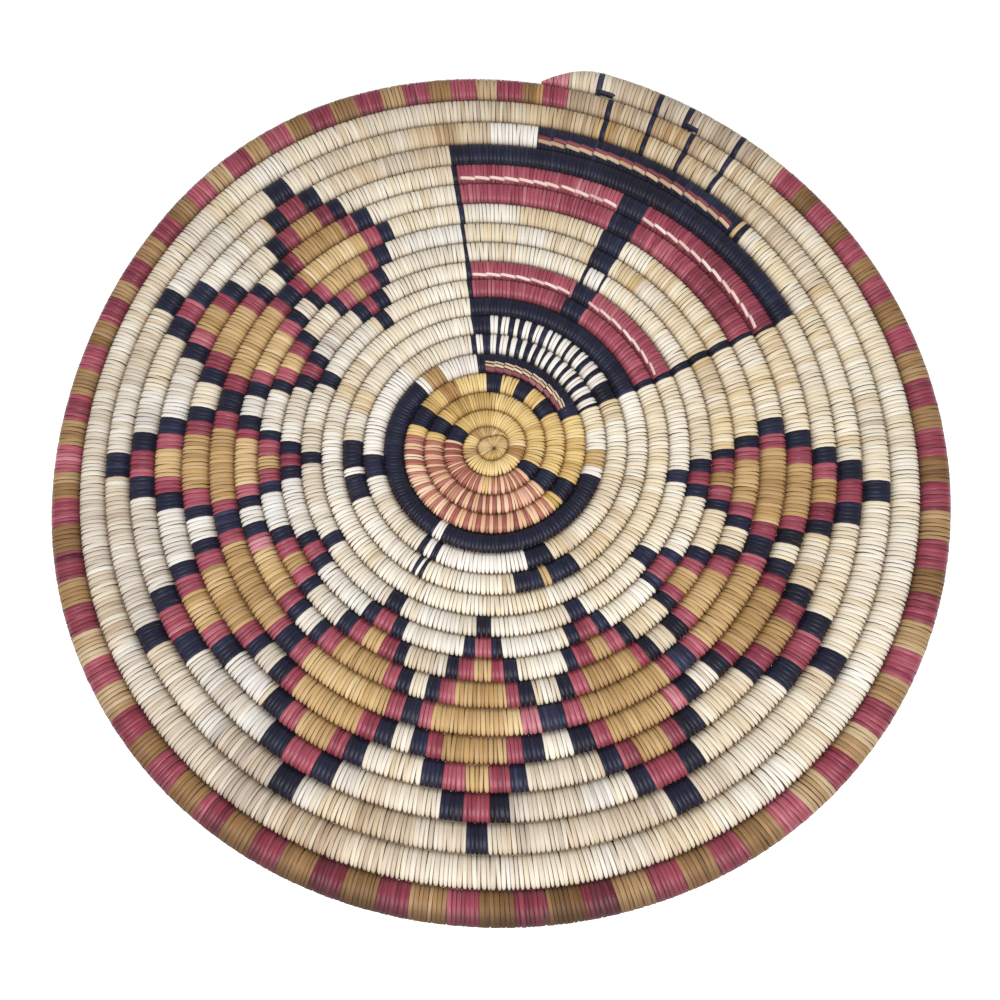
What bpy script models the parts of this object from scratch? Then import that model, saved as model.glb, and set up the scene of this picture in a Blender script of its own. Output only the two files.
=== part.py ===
"""A coiled basketry plaque: one bundle of grass wound in a spiral and sewn with strips of yucca leaf.

The plaque lies face up on the ground, with its origin under the middle of its outline and +Y towards
the top of its face. The coil starts beside the middle, straight up from it, and winds outwards
counterclockwise. A place along the coil is counted in turns from that start.
"""

import math

import bmesh
import bpy
import numpy as np

MM = 0.001

# The coil, seen from above. The seam is the line where each turn is sewn to the one inside it.
TURNS = 18.976
START_ANGLE = math.radians(90)
COIL_STEP = 8.98 * MM
STEP_GROWTH_SHARES = (1.0, -0.00355, 0.000548)
KNOT_RADIUS = 5.0 * MM
# How far the hand-sewn outline leaves a true round: waves for each way round, shares of the radius there.
WAVE_SHARES = {2: (-0.0056, -0.0087), 3: (0.0027, -0.0048), 4: (-0.0028, 0.0004)}
# Where the sewing ran tight or slack the turns stray from that. A row for each stretch: its direction and its
# reach either way in degrees, its radius as a share of the last turn's, and how far outwards the turns lie
# there, as a share of the step.
STRAY_SHARES = (
    (105, 110, 0.12, -0.14),
    (80, 130, 0.34, 0.11),
    (265, 140, 0.54, -0.19),
    (18, 62, 0.72, 0.24),
    (178, 55, 0.77, 0.28),
    (95, 65, 0.83, -0.14),
    (62, 75, 1.03, -0.32),
    (160, 45, 1.03, -0.38),
    (275, 90, 1.05, 0.17),
)
STRAY_REACH_SHARE = 0.17

# The coil, cut across
HEIGHT_SHARE = 0.9
SPLINT_WALL = 0.9 * MM
SEAM_GAP = 0.36 * MM
BUNDLE_GAP = 0.3 * MM
END_GAP = 0.4 * MM
# The thickest turn's middle lies this share of its half height off the ground: its underside is pressed flat.
MIDDLE_HEIGHT_SHARE = 0.8

# The tail, where the bundle thins out and is bound down on the turn inside it
TAIL_START = 18.957
TAIL_WIDTH_SHARE = 0.3
TAIL_HEIGHT_SHARE = 0.55
TAIL_STEPS = 4

# This much of the coil's end makes the outline.
OUTLINE_TURNS = 1.2

# The facets: few on the small inner turns, twice as many on the outer ones
INNER_TURNS = 7
INNER_FACETS = 14
OUTER_FACETS = 2 * INNER_FACETS
SHARP_ANGLE = math.radians(30)

# The gap of the bundle to itself is measured on this many points a facet, this share of a turn round the
# place one turn further on.
GAP_POINTS = 9
GAP_REACH_SHARE = 0.1

# The start knot's layers from the bottom up: width share of its rim, height share from -1 to 1
KNOT_LAYER_SHARES = ((0.55, -1.0), (1.0, -0.4), (1.0, 0.4), (0.55, 1.0))

# The overlay strips, laid on the face and caught down by splints
STRIP_WIDTH = 1.5 * MM
STRIP_HEIGHT = 0.8 * MM
STRIP_GAP = 0.3 * MM
STRIP_SIDES = 6
# Each strip's first and last place in turns, and where it lies across the coil: -1 inner side, 1 outer.
STRIP_PLACE_SHARES = {
    "white_overlay_lower_right": (8.817, 8.908, -0.68),
    "white_overlay_lower_left": (8.926, 9.016, -0.68),
    "white_overlay_upper_right": (13.819, 13.910, -0.68),
    "white_overlay_upper_left": (13.926, 14.017, -0.68),
    "cream_overlay_crown": (3.827, 4.009, -0.33),
    "red_overlay_crown": (3.827, 4.009, -0.80),
    "cream_overlay_rim": (15.872, 15.977, -0.63),
    "red_overlay_rim": (15.872, 15.977, -0.22),
}

# A coil's side and top are flat for these shares of its height and width, which makes eight sides or six.
OCTAGON_SHARES = (0.414, 0.414)
HEXAGON_SHARES = (0.0, 0.5)

GRASS = ("galleta grass", (0.52, 0.40, 0.22), 0.85)
NATURAL = ("natural yucca splint", (0.78, 0.66, 0.48), 0.6)
WHITE = ("bleached yucca splint", (0.88, 0.76, 0.72), 0.55)
RED = ("red dyed yucca splint", (0.42, 0.08, 0.12), 0.5)
CREAM = ("cream yucca splint", (0.80, 0.66, 0.52), 0.55)


def plain_radius(turns):
    """Distance of the seam from the middle, without the waves: the step times the turns, growing slowly."""
    linear, second, third = STEP_GROWTH_SHARES
    spiral = COIL_STEP * (linear * turns + second * turns**2 + third * turns**3)
    return np.hypot(spiral, KNOT_RADIUS)


def hump(distance, reach):
    """One in the middle, easing to nothing at the reach: a squared cosine."""
    return np.cos(np.clip(np.abs(distance) / reach, 0, 1) * math.pi / 2) ** 2


def stray(radius, angle):
    """How far the seam strays outwards at a radius and an angle: each stretch's share of the step, added up."""
    share = radius / plain_radius(TURNS)
    outwards = 0.0
    for direction, reach, middle_share, outward_share in STRAY_SHARES:
        aside = (np.degrees(angle) - direction + 180) % 360 - 180
        strength = hump(aside, reach) * hump(share - middle_share, STRAY_REACH_SHARE)
        outwards = outwards + COIL_STEP * outward_share * strength
    return outwards


def seam_point(turns):
    """Where the seam runs at a place along the coil, from the middle of the spiral."""
    angle = START_ANGLE + 2 * math.pi * turns
    radius = plain_radius(turns)
    wave = sum(
        cosine * np.cos(count * angle) + sine * np.sin(count * angle)
        for count, (cosine, sine) in WAVE_SHARES.items()
    )
    radius = radius * (1 + wave * radius / plain_radius(TURNS))
    radius = radius + stray(radius, angle)
    return np.stack([radius * np.cos(angle), radius * np.sin(angle)], axis=-1)


def facet_places():
    """The places along the coil where it has a ring of points."""
    inner = np.arange(INNER_TURNS * INNER_FACETS) / INNER_FACETS
    outer_count = math.ceil((TURNS - INNER_TURNS) * OUTER_FACETS) + 1
    outer = INNER_TURNS + np.arange(outer_count) / OUTER_FACETS
    return np.concatenate([inner, outer])


def inner_side(places):
    """The coil's inner side. The first finely faceted turn keeps here to the facets of the turn inside it."""
    points = seam_point(places)
    coarse = np.arange((INNER_TURNS + 1) * INNER_FACETS + 1) / INNER_FACETS
    corners = seam_point(coarse)
    matched = places <= INNER_TURNS + 1
    for axis in (0, 1):
        points[matched, axis] = np.interp(places[matched], coarse, corners[:, axis])
    return points


PLACES = facet_places()
INSIDE = inner_side(PLACES)
OUTSIDE = seam_point(PLACES + 1)


def along(points, turns):
    """A place on the straight facets between the points, so that facing sides stay parallel."""
    return np.array([np.interp(turns, PLACES, points[:, axis]) for axis in (0, 1)])


def tail_share(turns, least):
    """One along the coil, and smoothly down to the given share along the tail."""
    share = np.clip((turns - TAIL_START) / (TURNS - TAIL_START), 0, 1)
    return 1 - (1 - least) * share * share * (3 - 2 * share)


def coil_frame(turns):
    """The coil's middle, the direction across it, its half width and its half height at one place."""
    inside = along(INSIDE, turns)
    across = along(OUTSIDE, turns) - inside
    width = np.linalg.norm(across)
    step = plain_radius(turns + 1) - plain_radius(turns)
    half_height = HEIGHT_SHARE * step / 2 * tail_share(turns, TAIL_HEIGHT_SHARE)
    across = across / width
    half_width = width * tail_share(turns, TAIL_WIDTH_SHARE) / 2 - SEAM_GAP / 2
    return inside + across * (half_width + SEAM_GAP / 2), across, half_width, half_height


GREATEST_HALF_HEIGHT = max(coil_frame(turns)[3] for turns in PLACES[PLACES <= TURNS])
MIDDLE_HEIGHT = GREATEST_HALF_HEIGHT * MIDDLE_HEIGHT_SHARE


def stretch(first, last):
    """The places of a length of coil: its two ends and the facet places between them."""
    tail = np.linspace(TAIL_START, TURNS, TAIL_STEPS)
    places = np.concatenate([PLACES[PLACES < TAIL_START], tail])
    apart = np.min(np.diff(PLACES)) / OUTER_FACETS
    return np.concatenate([[first], places[(places > first + apart) & (places < last - apart)], [last]])


def outline_middle():
    """The middle of the outline's box, so that the origin lies under it."""
    points = []
    for turns in stretch(TURNS - OUTLINE_TURNS, TURNS):
        middle, across, half_width, _ = coil_frame(turns)
        points.append(middle + across * half_width)
    return (np.min(points, axis=0) + np.max(points, axis=0)) / 2


OUTLINE_MIDDLE = outline_middle()


def profile(half_width, half_height, floor_depth, shares):
    """A flat-sided round, cut off flat at the floor: (across, up) points, counterclockwise."""
    side_share, top_share = shares

    def slope(depth):
        fall = (depth / half_height - side_share) / (1 - side_share)
        return half_width * (1 - (1 - top_share) * fall)

    heights = [-min(half_height, floor_depth), side_share * half_height, half_height]
    if side_share:
        heights.insert(1, -side_share * half_height)
    right = [(slope(abs(height)), height) for height in heights]
    left = [(-across, height) for across, height in right[::-1]]
    return np.array(right + left)


def section(turns, inset, shares):
    """The coil's outline at one place, moved in by the inset on every side, as points in space."""
    middle, across, half_width, half_height = coil_frame(turns)
    points = profile(half_width - inset, half_height - inset, MIDDLE_HEIGHT - inset, shares)
    level = middle - OUTLINE_MIDDLE + np.outer(points[:, 0], across)
    return np.column_stack([level, MIDDLE_HEIGHT + points[:, 1]])


def arc_share(length, turns):
    """A length along the coil as a share of a turn there."""
    return length / (2 * math.pi * np.linalg.norm(along(INSIDE, turns)))


def tube_sides(mesh, rings):
    """Joins each ring of points to the next with four-sided faces, and returns the rings' points."""
    loops = [[mesh.verts.new(point) for point in ring] for ring in rings]
    for near, far in zip(loops, loops[1:]):
        for i in range(len(near)):
            j = (i + 1) % len(near)
            mesh.faces.new((near[i], near[j], far[j], far[i]))
    return loops


def loop_edges(mesh, loop):
    """The edges round one ring of points."""
    return [mesh.edges.get((loop[i - 1], loop[i])) for i in range(len(loop))]


def material(name, colour, roughness):
    """A plain surface of the splint's or grass's colour, made once."""
    if name in bpy.data.materials:
        return bpy.data.materials[name]
    made = bpy.data.materials.new(name)
    made.use_nodes = True
    surface = made.node_tree.nodes["Principled BSDF"]
    surface.inputs["Base Color"].default_value = (*colour, 1.0)
    surface.inputs["Roughness"].default_value = roughness
    surface.inputs["Metallic"].default_value = 0.0
    made.diffuse_color = (*colour, 1.0)
    return made


def finish_object(name, mesh, look):
    """Turns the faces outwards and puts the mesh in the scene under its name."""
    bmesh.ops.recalc_face_normals(mesh, faces=mesh.faces)
    data = bpy.data.meshes.new(name)
    mesh.to_mesh(data)
    mesh.free()
    data.shade_smooth()
    data.set_sharp_from_angle(angle=SHARP_ANGLE)
    data.materials.append(material(*look))
    made = bpy.data.objects.new(name, data)
    bpy.context.scene.collection.objects.link(made)
    return made


def solid_tube(name, rings, look):
    """A closed tube through the rings, with a flat face at each end."""
    mesh = bmesh.new()
    loops = tube_sides(mesh, rings)
    mesh.faces.new(loops[0])
    mesh.faces.new(loops[-1])
    return finish_object(name, mesh, look)


def hollow_tube(name, outer_rings, inner_rings, look):
    """A tube with a bore, its two walls joined by a flat face round each end."""
    mesh = bmesh.new()
    outer = tube_sides(mesh, outer_rings)
    inner = tube_sides(mesh, inner_rings)
    for end in (0, -1):
        edges = loop_edges(mesh, outer[end]) + loop_edges(mesh, inner[end])
        bmesh.ops.triangle_fill(mesh, edges=edges, use_beauty=True)
    return finish_object(name, mesh, look)


def build_foundation():
    """The grass bundle: one unbroken tube from the middle to the tail."""
    inset = SPLINT_WALL + BUNDLE_GAP
    places = stretch(arc_share(END_GAP, 0), TURNS)
    rings = [section(turns, inset, HEXAGON_SHARES) for turns in places]
    solid_tube("grass_foundation", rings, GRASS)
    return places, rings


def least_gap(places, rings):
    """The least distance between neighbouring turns of the bundle, on points along its facing sides."""
    steps = np.linspace(0, 1, GAP_POINTS)
    level = [ring[:, :2] for ring in rings]
    reach = [np.linalg.norm(points + OUTLINE_MIDDLE, axis=1) for points in level]
    far_side = np.array([points[far.argmax()] for points, far in zip(level, reach)])
    near_side = np.array([points[far.argmin()] for points, far in zip(level, reach)])
    least = math.inf
    for start, end, first, second in zip(far_side, far_side[1:], places, places[1:]):
        facing = (places > first + 1 - GAP_REACH_SHARE) & (places < second + 1 + GAP_REACH_SHARE)
        across = near_side[facing]
        line = start + np.outer(steps, end - start)
        for near, far in zip(across, across[1:]):
            other = near + np.outer(steps, far - near)
            least = min(least, np.linalg.norm(line[:, None] - other, axis=2).min())
    return least


def build_sewn_turn(number):
    """One turn of sewing: the splints as a wall round the bundle, open at both ends for it."""
    first = number - 1 + arc_share(END_GAP / 2, number - 1)
    last = min(number - arc_share(END_GAP / 2, number), TURNS - arc_share(END_GAP / 2, TURNS))
    places = stretch(first, last)
    outer = [section(turns, 0, OCTAGON_SHARES) for turns in places]
    inner = [section(turns, SPLINT_WALL, HEXAGON_SHARES) for turns in places]
    hollow_tube(f"sewn_turn_{number:02d}", outer, inner, NATURAL)


def build_start_knot():
    """The knot that the coil starts from: a low round button that fills the first turn."""
    places = PLACES[PLACES <= 1]
    rim = along(INSIDE, places[:, None]).reshape(2, -1).T
    lengths = np.linalg.norm(rim, axis=1, keepdims=True)
    half_height = coil_frame(1)[3]
    rings = []
    for width_share, height_share in KNOT_LAYER_SHARES:
        level = rim * (width_share * (1 - SEAM_GAP / lengths)) - OUTLINE_MIDDLE
        height = np.full(len(rim), MIDDLE_HEIGHT + height_share * half_height)
        rings.append(np.column_stack([level, height]))
    solid_tube("start_knot", rings, NATURAL)


def strip_section(turns, across_share):
    """A strip's six-sided outline, lying on the coil's upper side at a share of its half width."""
    middle, across, half_width, half_height = coil_frame(turns)
    side_share, top_share = OCTAGON_SHARES
    beyond = max(abs(across_share) - top_share, 0) / (1 - top_share)
    height = half_height * (1 - beyond * (1 - side_share))
    fall = math.atan2(half_height * (1 - side_share), half_width * (1 - top_share))
    tilt = math.copysign(fall, across_share) if beyond else 0.0
    along_face = np.array([math.cos(tilt), -math.sin(tilt)])
    off_face = np.array([math.sin(tilt), math.cos(tilt)])
    centre = np.array([across_share * half_width, height]) + off_face * (STRIP_GAP + STRIP_HEIGHT / 2)
    angles = np.arange(STRIP_SIDES) * 2 * math.pi / STRIP_SIDES
    points = (
        centre
        + np.outer(np.cos(angles) * STRIP_WIDTH / 2, along_face)
        + np.outer(np.sin(angles) * STRIP_HEIGHT / 2 / math.sin(2 * math.pi / STRIP_SIDES), off_face)
    )
    level = middle - OUTLINE_MIDDLE + np.outer(points[:, 0], across)
    return np.column_stack([level, MIDDLE_HEIGHT + points[:, 1]])


def build_strip(name, look):
    """One overlay strip, lying along the coil between its two ends."""
    first, last, across_share = STRIP_PLACE_SHARES[name]
    rings = [strip_section(turns, across_share) for turns in stretch(first, last)]
    solid_tube(name, rings, look)


def clear_scene():
    """Removes whatever the scene held."""
    for found in list(bpy.data.objects):
        bpy.data.objects.remove(found, do_unlink=True)


def build_plaque():
    """Makes every piece of the plaque."""
    clear_scene()
    places, rings = build_foundation()
    print(f"least gap of the grass bundle to itself: {least_gap(places, rings) / MM:.2f} mm")
    build_start_knot()
    for number in range(1, math.ceil(TURNS) + 1):
        build_sewn_turn(number)
    for name in STRIP_PLACE_SHARES:
        look = {"white": WHITE, "cream": CREAM, "red": RED}[name.split("_")[0]]
        build_strip(name, look)


build_plaque()
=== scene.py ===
import bpy
import numpy as np
from mathutils import Matrix


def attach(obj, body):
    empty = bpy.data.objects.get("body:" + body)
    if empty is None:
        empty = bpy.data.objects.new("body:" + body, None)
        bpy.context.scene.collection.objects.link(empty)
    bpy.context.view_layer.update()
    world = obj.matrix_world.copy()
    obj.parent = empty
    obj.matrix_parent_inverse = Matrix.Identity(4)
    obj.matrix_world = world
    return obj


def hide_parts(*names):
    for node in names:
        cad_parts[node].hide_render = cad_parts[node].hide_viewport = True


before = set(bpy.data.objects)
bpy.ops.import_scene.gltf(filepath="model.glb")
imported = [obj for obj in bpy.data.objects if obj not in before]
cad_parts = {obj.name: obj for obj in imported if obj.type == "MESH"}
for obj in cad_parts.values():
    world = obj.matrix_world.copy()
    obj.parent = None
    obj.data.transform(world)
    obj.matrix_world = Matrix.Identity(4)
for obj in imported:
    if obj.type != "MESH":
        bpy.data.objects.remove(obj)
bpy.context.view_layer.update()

# Looks of a coiled basketry plaque: every stitch of yucca splint, the grass in the coil, the overlay strips.
# Lengths are in millimetres until a mesh is made. A place on the coil is a number of turns from its start, at
# the top of the face, counterclockwise outwards. Across the coil runs from -1 on its inner seam to 1 on its
# outer seam, and height from -1 on the back to 1 on the face.

MM = 0.001
rng = np.random.default_rng(27)

# The coil's course, as the solids have it: a spiral that starts straight above its middle
TURNS = 18.976
START_DEGREES = 90
START_ANGLE = np.radians(START_DEGREES)
COIL_STEP = 8.98
STEP_GROWTH_SHARES = (1.0, -0.00355, 0.000548)
KNOT_RADIUS = 5.0

# How far it is out of round, from a fit to the seams in the photo, as the growth above is: for each wave's
# count round the face, its cosine's and sine's shares
WAVE_SHARES = {2: (-0.0056, -0.0087), 3: (0.0027, -0.0048), 4: (-0.0028, 0.0004)}

# Where it was sewn tight or slack: the direction and its reach in degrees, the place as a share of the last
# radius, and the stray outwards as a share of the step
STRAY_SHARES = (
    (105, 110, 0.12, -0.14),
    (80, 130, 0.34, 0.11),
    (265, 140, 0.54, -0.19),
    (18, 62, 0.72, 0.24),
    (178, 55, 0.77, 0.28),
    (95, 65, 0.83, -0.14),
    (62, 75, 1.03, -0.32),
    (160, 45, 1.03, -0.38),
    (275, 90, 1.05, 0.17),
)
STRAY_REACH_SHARE = 0.17

OUTLINE_MIDDLE = (4.6988, -2.3676)
MIDDLE_HEIGHT = 4.792
HEIGHT_SHARE = 0.9
TAIL_START = 18.955
TAIL_END = 18.979
TAIL_WIDTH_SHARE = 0.05
TAIL_HEIGHT_SHARE = 0.7

# The start: a wrapped knot with a small hole, out of which the coil grows on the right in a fifth of a turn
KNOT_HOLE = (2.0, -1.0)
KNOT_HOLE_RADIUS = 0.6
KNOT_HALF_HEIGHT = 3.3
COIL_BEGIN = -0.21
KNOT_PLACES = (-2.0, -1.0)

# The coil's round: a superellipse, a little fuller than an ellipse
ROUNDNESS = 2.3
CORE_SHARE = 0.88
CORE_WIDTH_SHARE = 0.97

# Pitch of the stitches along the middle of the coil, finer towards the start
PITCH_TURNS = (-1, 0, 1.5, 3, 5, 8, 19)
PITCHES = (0.75, 1.15, 1.28, 1.42, 1.68, 1.8, 1.88)

# The sewing chart, one line for each time round from the rim inwards, read from the photo with its turns
# laid out straight over a scale of degrees. A letter is a splint's colour and the number is the angle, in
# degrees counterclockwise from the right, where that colour ends. Each line starts at 83 degrees, just
# right of the top, where the coil's end lies.
# n natural, w white, c cream, g gold, o old gold, y yellow, b brown, r red, f faded red, k navy.
CHART_START = 83.0
RIM_RED_STARTS = (
    85.2, 92.2, 99.3, 106.5, 114.1, 121.2, 128.0, 135.2, 142.8, 150.6, 157.3, 164.9, 172.6, 180.1, 187.7,
    195.1, 202.5, 210.2, 218.0, 225.2, 233.1, 241.0, 249.0, 257.0, 265.2, 273.1, 281.1, 289.1, 297.0, 305.5,
    313.2, 321.0, 328.3, 335.9, 343.0, 350.7, 358.0, 365.0, 373.0, 380.8, 387.7, 394.1, 401.0,
)
RIM_RED_WIDTH = 3.8
CHART = (
    "n411.5 k412.3 n419.9 k420.7 n424.6 k425.4 n433.6 k434.4 n438.6 r443",
    "n411.1 k411.9 n417.8 k418.6 n424.3 k425.1 n431.2 k432 n438.2 r442 g443",
    "w90 n126.2 k130 n152.6 k156.3 n181.3 k185.2 n209.3 k212.9 n238.7 k242.5 n267 k269.9 n295.5 k299.4"
    " n323.8 k327.2 n350.8 k354 n410.8 k411.6 n417.4 k418.2 n423.9 k424.7 n430.9 k431.7 n443",
    "k97.4 n122.9 k126 r130.2 k133.3 n148.8 k152.5 r156.3 k159.9 n177.8 k181 r185.5 k189.2 n205 k208.5"
    " r213.5 k217.4 n234 k238 r243 k246.5 n262.9 k266.3 r270.2 k273.1 n291.7 k294.5 r299.7 k302.7"
    " n318.5 k322.3 r327.6 k331 n346.5 k350 r353.8 k357 n401.3 k402.3 g403.1 k441.8 w443",
    "r96.5 k97.5 n120.2 k122.7 r125.6 g130.6 r134 k136.8 n145.8 k148.8 r151.5 g156.8 r159.8 k163"
    " n174.8 k177.8 r180.7 g186 r189 k192.1 n202.1 k204.8 r207.9 g214.7 r217.8 k221.7 n230.7 k234.3"
    " r237.3 g243.4 r246.2 k249.5 n259.2 k262.7 r266.3 g270.1 r273.5 k276.2 n288.4 k291.5 r294.5 g299.7"
    " r302.3 k305.9 n316 k318.5 r321.7 g327.5 r330.8 k334 n343.5 k346 r349.2 g353.5 r356.3 k359.2"
    " n384.2 k443",
    "r96.3 k97.4 n116.2 k119.7 r122.7 g134 r136.8 k139.5 n143.2 k145.9 r149 g160 r163.5 k166.8 n172"
    " k175 r177.8 g189 r192.6 k194.9 n199.4 k201.8 r205 g218.2 r221.5 k224 n227.7 k230.6 r233.2 g246.3"
    " r249.8 k253 n256.3 k259.1 r261.8 g273.2 r276 k279.7 n284.6 k288.5 r291.5 g303 r305.9 k309 n312.8"
    " k315.7 r318 g331 r333.9 k337 n340.2 k343 r345.6 g356 r359.2 k362.4 n383.6 k384.2 r417.7 k423.2"
    " r443",
    "n96 k97.2 n113.3 k116.2 r120 g136.8 r139.6 k143.5 r146 g163.6 r167.3 k172.3 r176.2 g192.5 r195"
    " k199.3 r202.2 g221.6 r223.9 k228 r231.2 g250 r253.2 k256.5 r259 g276.4 r280 k284.8 r288.6 g305.7"
    " r308.4 k312.2 r315.2 g333.2 r335.8 k339.9 r343 g359 r362 k365.4 n383.7 k384.6 r417.5 k423.2 r443",
    "n96.3 k97.2 n116.2 k119.9 r122.9 g134.2 r137.2 k139.7 n143.3 k146.2 r149.8 g160.8 r164 k167.5"
    " n172.6 k176.1 r178.3 g189.8 r192.8 k195.4 n199.4 k202.3 r206.2 g218 r221.3 k224 n228.2 k230.7"
    " r234.8 g247 r250 k253 n256.5 k259.4 r262.8 g273.8 r276.5 k279.7 n285 k288 r291.2 g302.8 r305"
    " k307.8 n312 k315.5 r318.3 g329 r332.7 k335.3 n340 k342.9 r346 g356.2 r359 k361.7 n383.3 k385"
    " n417.5 k423.4 n443",
    "n96.2 k97.2 n119.8 k122.8 r127.4 g130.5 r134.2 k137 n146.6 k149.8 r153.6 g158 r161.7 k164.6 n176"
    " k178.6 r182.9 g186.6 r190.1 k193 n202.7 k206.3 r210.5 g214.5 r218.3 k221.3 n231.3 k235 r238.7"
    " g243.3 r247.2 k249.9 n259.9 k262.7 r266.5 g270.7 r273.5 k276.8 n288.2 k290.8 r294.8 g299 r302.7"
    " k305.3 n315.2 k318 r320.7 g326 r329 k332.3 n342.7 k345.4 r349 g352.5 r356.2 k358.5 n383 k384.8"
    " n417.2 k423.3 n443",
    "r95.8 k97.3 n122.9 k127 r130.2 k134 n150.3 k153.9 r158 k162.1 n178.9 k182.7 r186.3 k190.2 n207"
    " k210.5 r214.8 k218.2 n234.8 k238.5 r243.6 k247 n263.4 k266.3 r270.7 k273.5 n290.7 k293.8 r298.8"
    " k302 n317 k319.7 r325.5 k328.2 n344.7 k348.3 r352 k355.5 n382.2 k384.2 n416.5 k417.2 w421.9"
    " k422.9 n443",
    "r96 k97.6 n126.2 k130.2 n154 k158.8 n182.4 k186.2 n210.6 k214.6 n238.3 k243.5 n266.4 k270.6"
    " n293.7 k298.6 n320 k325 n347.7 k351.6 n381.6 k383.4 r416.3 k423 r443",
    "k97.5 n381.5 k383.7 r416.3 k423.7 r443",
    "w85 k86.3 w89.8 k97.7 n178 k190 w193.2 k204 n240 k241.5 w242.8 k244.3 n279.8 k290.3 g293.5 k304.7"
    " n381.5 k443",
    "w84.5 k86.5 w89.7 k93.5 w97 k99.5 n137.5 w185 k196.5 n237 k240 w243.5 k246.3 w286.7 k298 n381.5"
    " k390.3 w394.7 k397 w401.2 k403.5 w406.8 k408.5 w411.5 k413 w416.5 k417.8 w421 k422 w423.9 k426.3"
    " w429.5 k431.7 w434.8 k437 w439 k441.5 w443",
    "k98 w121.5 g133 w138 k238.8 w244 k342 w347 g357 n381 k382.7 w386.2 k389 w393.2 k395.8 w399.3"
    " k401.5 w405 k407.2 w410 k412 w414.8 k416.8 w419.3 k420.8 w423.2 k425.8 w427.8 k430.8 w433.2 k436"
    " w438.8 k440.5 w443",
    "k92.5 y117 b131 y148 k164 y172.3 f178.5 c184 f187.5 c192 f196 c201.5 f205.5 c212 f215 c219.8"
    " f223.5 c227.8 f231.5 c235.5 f239.5 c243.3 f247.3 c252.8 f256 c261 f264.3 c267.5 f270 c273 f275.8"
    " c279 f282 c286.8 f289.7 c294.5 f298 c303.3 f306.3 c310 f313 y321 k334 y380 k443",
    "y149 k166.5 y175.5 f180 c186.5 f190.5 c196 f200.5 c204 f208.5 c212 f214.5 c219.5 f223.5 c228 f231"
    " c236 f239.7 c243.2 f246.8 c251.5 f255.3 c260 f263.8 c266.8 f270 c273.2 f276.5 c280.8 f283.5 c287.5"
    " f290.5 c295 f298 c303 f306.3 c309.5 f312.5 c318.8 k334.5 y388 k401.5 y414 k426.5 y440 k443",
    "y148 k173 c177.5 f186 c188.5 f197 c199.5 f211 c213.2 f218.3 c221 f234 c236.3 f242 c244 f249.5 c251"
    " f256.5 c262 y268.5 c273.5 f277 c281 f285 c290 f292.5 c296 f300 c303 f306 c310 f314 c319.3 k335"
    " y443",
    "g148 y190 g215 y333 b358 c364 y443",
)

# The last turn's number, when the first is 0
LAST_TURN = len(CHART) - 1

# Tones run in stretches of about so many stitches, each with its own spread: a hank of splints, one splint
# and one stitch
TONE_STRETCHES = ((25, 80, 0.05), (6, 16, 0.08), (1, 2, 0.08))
WARMTH_STRETCHES = ((25, 80, 0.08), (5, 15, 0.14), (1, 2, 0.05))
WARMTH_SPREAD = 0.02

# The tone of a plain splint, and how much it differs from one run of a colour to the next
MIDDLE_TONE = 0.5
RUN_SPREADS = {"n": 0.03, "k": 0.03, "y": 0.05, "c": 0.12, "f": 0.12, "o": 0.16, "r": 0.09}
RUN_SPREAD = 0.06

# Patches of the face where the natural splints are darker or lighter, and warmer or greyer: the direction and
# its reach either way in degrees, the turn and its reach in turns, and how much is added. A reach of 900
# degrees is all round, for the knot.
TONE_PATCHES = (
    (68, 60, 17.8, 3.0, -0.4), (100, 60, 15.5, 5.0, -0.1), (245, 120, 16.5, 4.5, -0.26),
    (200, 130, 17.5, 1.4, -0.25), (225, 70, 10.5, 3.5, -0.12), (60, 110, 6.5, 5.5, 0.26),
    (0, 75, 14.0, 6.0, 0.06), (0, 900, -1.5, 4.0, -0.12), (45, 60, 18.9, 1.0, -0.1),
)
WARMTH_PATCHES = (
    (20, 100, 9.0, 14.0, 0.3), (215, 120, 13.0, 8.5, -0.5), (50, 60, 18.9, 1.0, -0.2),
    (0, 900, -1.5, 4.0, 0.7),
)

# Where the red splints are painted darker, as painted shade: the lower half of the rim
RED_SHADE_PATCHES = ((275, 130, 18.5, 1.5, -0.14),)

# A stitch's way round the coil: the angles on the round, and where it dives into the turn inside
WRAP_ANGLES = np.radians([158, 148, 125, 92, 60, 38, 18, 0, -30, -60, -95, -130, -158])
DIVE_ACROSS = -1.17
DIVE_HEIGHT = 0.32

# How much of the pitch a stitch covers at these angles and where it dives, and how much one stitch differs
COVER_ANGLES = (-158, -130, -60, 60, 150, 158)
COVER_SHARES = (0.8, 0.97, 0.95, 0.95, 0.97, 0.97)
DIVE_COVER_SHARE = 0.8
COVER_SPREAD = 0.05

# A stitch across its own width: its edges, past the edge column, sink by a share of the pitch and are
# darkened with painted shade for the grooves between stitches, each between these limits
STITCH_COLUMNS = np.array([-1.0, -0.8, 0.8, 1.0])
EDGE_COLUMN = 0.9
EDGE_SINK_SHARE = 0.08
EDGE_SINK_SPREAD = (0.6, 1.3)
EDGE_SHADE = (0.3, 1.0)

# How unevenly the stitches are pulled down, and how the thread moves on by a stitch under the back
STITCH_LIFT_SPREAD = 0.04
STITCH_LIFT_LIMIT = 0.08
BACK_STITCH_ANGLE = 158
BACK_STITCH_SHARE = 0.9
STITCH_FLOOR_GAP = 0.02

# Where the next turn's stitches pierce a turn, its own are drawn together into teeth on its outer shoulder
TOOTH_ANGLES = (-60, -20, 0, 18, 45)
TOOTH_SHARES = (0.0, 0.5, 0.78, 0.5, 0.0)
TOOTH_SPREAD = (0.7, 1.3)

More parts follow.
